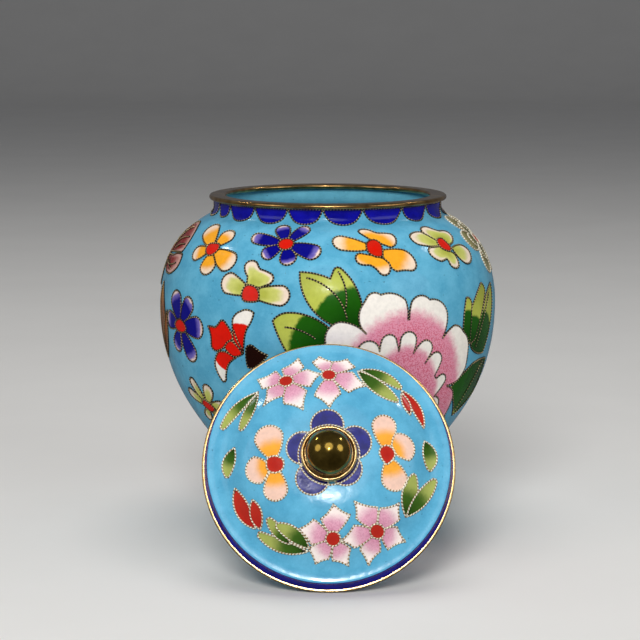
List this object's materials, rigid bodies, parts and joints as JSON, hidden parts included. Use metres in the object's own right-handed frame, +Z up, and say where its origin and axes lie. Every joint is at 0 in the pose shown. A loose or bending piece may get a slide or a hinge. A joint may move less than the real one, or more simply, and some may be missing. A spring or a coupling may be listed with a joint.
{
  "type": "cloisonne ginger jar",
  "caption": "Rounded cloisonne enamel ginger jar with gilt mouth and foot rings; its domed lid with a ball knob is off and leans against the front of the body.",
  "frame": {"origin": "middle of the space that the jar and its leaning lid take, on the surface they stand on", "axes": "+Z up along the jar's axis; -Y towards the leaning lid, the side seen from the front; +X to the right of that view"},
  "size_m": [0.092, 0.1252, 0.0906],
  "materials": {
    "turquoise_enamel": "glossy fired enamel on copper, with flowers in coloured enamels between twisted wires",
    "gilt": "gilt, polished, a little worn and darkened",
    "polished_brass": "mirror polished"
  },
  "bodies": {
    "root": {"jar_body": "turquoise_enamel", "mouth_ring": "gilt", "foot_ring": "gilt", "lid_shell": "turquoise_enamel", "knob_collar": "gilt", "knob_ball": "polished_brass"}
  },
  "joints": []
}
